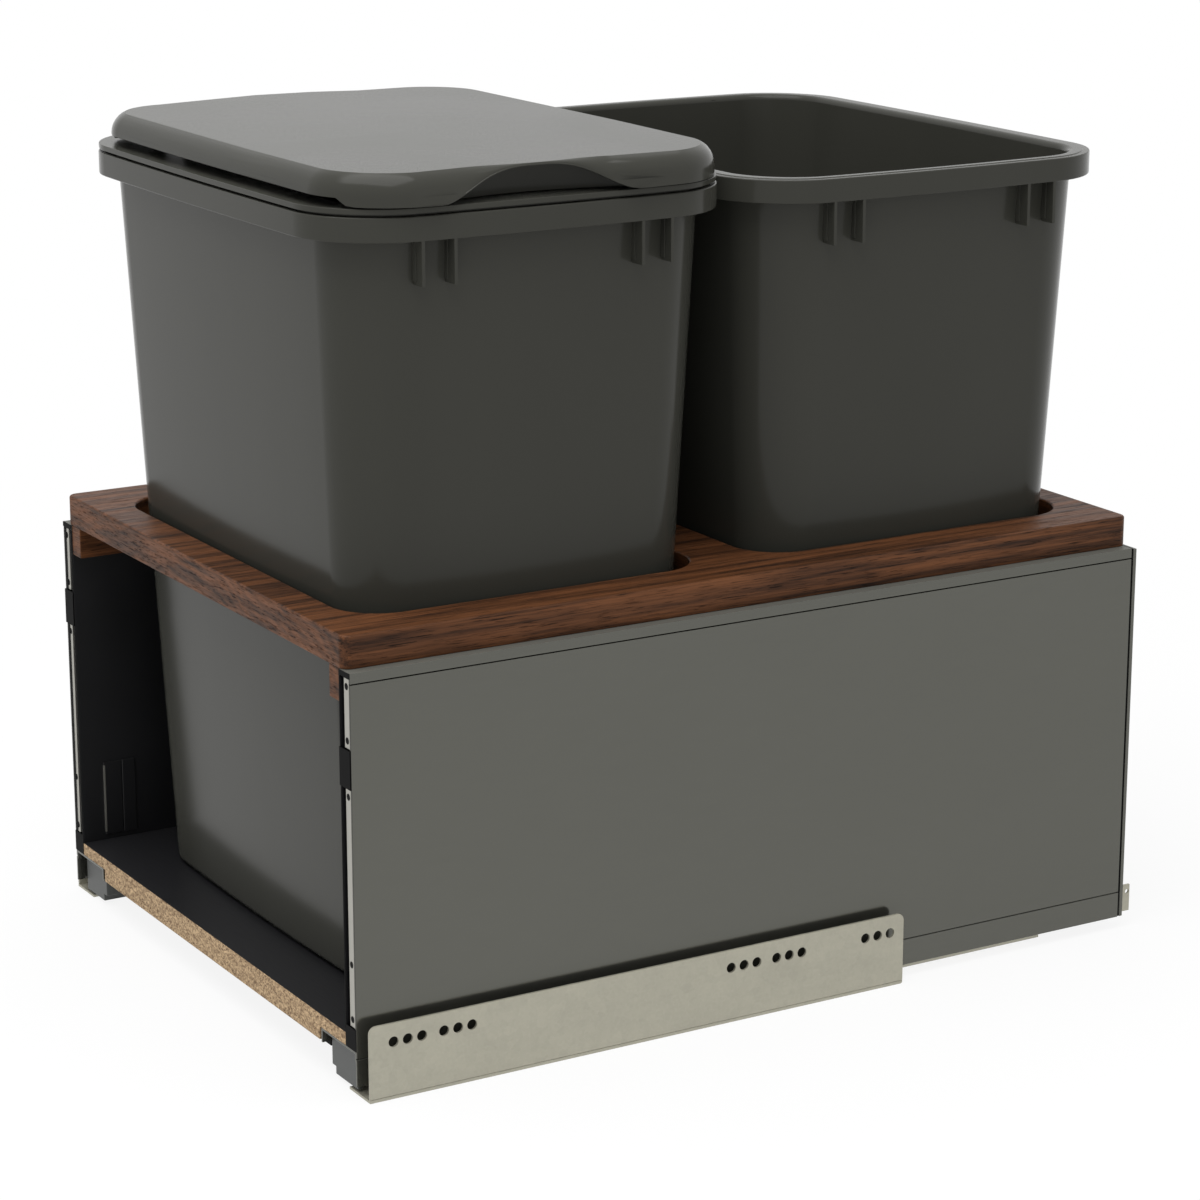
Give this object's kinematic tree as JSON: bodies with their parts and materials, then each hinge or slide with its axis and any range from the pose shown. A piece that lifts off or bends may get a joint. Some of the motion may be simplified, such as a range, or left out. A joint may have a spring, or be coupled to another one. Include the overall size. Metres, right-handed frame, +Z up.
{
  "type": "pull out waste bin drawer",
  "caption": "Steel-sided drawer on full-extension runners with a walnut board that holds tapered waste bins, one with a hinged lid, for a kitchen base cabinet.",
  "frame": {"origin": "centre of the overall footprint, on the surface that the runners' flanges stand on", "axes": "+Z up, +Y towards the back of the cabinet, so the drawer pulls out along -Y; +X to the right seen from the front"},
  "size_m": [0.419, 0.5486, 0.5144],
  "materials": {
    "side_grey": "fine satin powder coat, warm grey",
    "galvanised": "dull mottled zinc coating",
    "dark_steel": "near-black powder coat",
    "zinc": "bright zinc plate",
    "black_plastic": "matt black moulding",
    "grey_plastic": "satin grey moulding",
    "bin_plastic": "satin dark grey polypropylene",
    "walnut": "oiled straight-grained walnut",
    "chipboard": "raw chipboard edges under a black foil face"
  },
  "bodies": {
    "cabinet": {"runner_rail_left": "galvanised", "runner_rail_right": "galvanised", "soft_close_unit_left": "grey_plastic", "soft_close_unit_right": "grey_plastic"},
    "middle_left": {"middle_rail_left": "galvanised"},
    "middle_right": {"middle_rail_right": "galvanised"},
    "lower_cage_left": {"lower_roller_cage_left": "black_plastic"},
    "lower_cage_right": {"lower_roller_cage_right": "black_plastic"},
    "upper_cage_left": {"upper_roller_cage_left": "black_plastic"},
    "upper_cage_right": {"upper_roller_cage_right": "black_plastic"},
    "drawer": {"drawer_rail_left": "galvanised", "drawer_rail_right": "galvanised", "side_base_profile_left": "side_grey", "side_base_profile_right": "side_grey", "side_outer_skin_left": "side_grey", "side_outer_skin_right": "side_grey", "side_inner_skin_left": "dark_steel", "side_inner_skin_right": "dark_steel", "side_top_trim_left": "side_grey", "side_top_trim_right": "side_grey", "side_front_cap_left": "black_plastic", "side_front_cap_right": "black_plastic", "front_fixing_strip_upper_left": "zinc", "front_fixing_strip_upper_right": "zinc", "front_fixing_strip_lower_left": "zinc", "front_fixing_strip_lower_right": "zinc", "adjuster_cover_left": "dark_steel", "adjuster_cover_right": "dark_steel", "locking_device_left": "grey_plastic", "locking_device_right": "grey_plastic", "back_bracket_left": "black_plastic", "back_bracket_right": "black_plastic", "rear_hook_left": "galvanised", "rear_hook_right": "galvanised", "drawer_floor": "chipboard", "back_panel": "side_grey", "walnut_board": "walnut", "board_cleat_left": "walnut", "board_cleat_right": "walnut", "back_screw_1_left": "zinc", "back_screw_1_right": "zinc", "back_screw_2_left": "zinc", "back_screw_2_right": "zinc", "floor_screw_1_left": "zinc", "floor_screw_1_right": "zinc", "floor_screw_2_left": "zinc", "floor_screw_2_right": "zinc", "cleat_screw_1_left": "zinc", "cleat_screw_1_right": "zinc", "cleat_screw_2_left": "zinc", "cleat_screw_2_right": "zinc"},
    "lever_left": {"release_lever_left": "black_plastic"},
    "lever_right": {"release_lever_right": "black_plastic"},
    "bin_front": {"front_bin": "bin_plastic", "lid_ring": "bin_plastic", "lid_hinge_pin_1": "zinc", "lid_hinge_pin_2": "zinc"},
    "bin_lid": {"lid": "bin_plastic"},
    "bin_rear": {"rear_bin": "bin_plastic"}
  },
  "joints": [
    {"name": "drawer_slide", "type": "slide", "parent": "cabinet", "child": "drawer", "axis": [0, -1, 0], "range_m": [0, 0.5]},
    {"name": "middle_left_slide", "type": "slide", "parent": "cabinet", "child": "middle_left", "axis": [0, -1, 0], "range_m": [0, 0.25]},
    {"name": "middle_right_slide", "type": "slide", "parent": "cabinet", "child": "middle_right", "axis": [0, -1, 0], "range_m": [0, 0.25]},
    {"name": "lower_cage_left_slide", "type": "slide", "parent": "cabinet", "child": "lower_cage_left", "axis": [0, -1, 0], "range_m": [0, 0.125]},
    {"name": "lower_cage_right_slide", "type": "slide", "parent": "cabinet", "child": "lower_cage_right", "axis": [0, -1, 0], "range_m": [0, 0.125]},
    {"name": "upper_cage_left_slide", "type": "slide", "parent": "cabinet", "child": "upper_cage_left", "axis": [0, -1, 0], "range_m": [0, 0.375]},
    {"name": "upper_cage_right_slide", "type": "slide", "parent": "cabinet", "child": "upper_cage_right", "axis": [0, -1, 0], "range_m": [0, 0.375]},
    {"name": "lever_left_turn", "type": "hinge", "parent": "drawer", "child": "lever_left", "pos_m": [-0.1573, -0.2383, 0.0177], "axis": [0, 0, 1], "range_deg": [0, 8], "stiffness_Nm_per_rad": 0.05},
    {"name": "lever_right_turn", "type": "hinge", "parent": "drawer", "child": "lever_right", "pos_m": [0.1573, -0.2383, 0.0177], "axis": [0, 0, -1], "range_deg": [0, 8], "stiffness_Nm_per_rad": 0.05},
    {"name": "front_bin_lift", "type": "slide", "parent": "drawer", "child": "bin_front", "axis": [0, 0, 1], "range_m": [0, 0.26]},
    {"name": "rear_bin_lift", "type": "slide", "parent": "drawer", "child": "bin_rear", "axis": [0, 0, 1], "range_m": [0, 0.26]},
    {"name": "lid_hinge", "type": "hinge", "parent": "bin_front", "child": "bin_lid", "pos_m": [-0.1745, -0.1353, 0.4999], "axis": [0, -1, 0], "range_deg": [0, 95]}
  ],
  "couplings": [
    {"joint": "middle_left_slide", "follows": "drawer_slide", "ratio": 0.5},
    {"joint": "middle_right_slide", "follows": "drawer_slide", "ratio": 0.5},
    {"joint": "lower_cage_left_slide", "follows": "drawer_slide", "ratio": 0.25},
    {"joint": "lower_cage_right_slide", "follows": "drawer_slide", "ratio": 0.25},
    {"joint": "upper_cage_left_slide", "follows": "drawer_slide", "ratio": 0.75},
    {"joint": "upper_cage_right_slide", "follows": "drawer_slide", "ratio": 0.75}
  ]
}
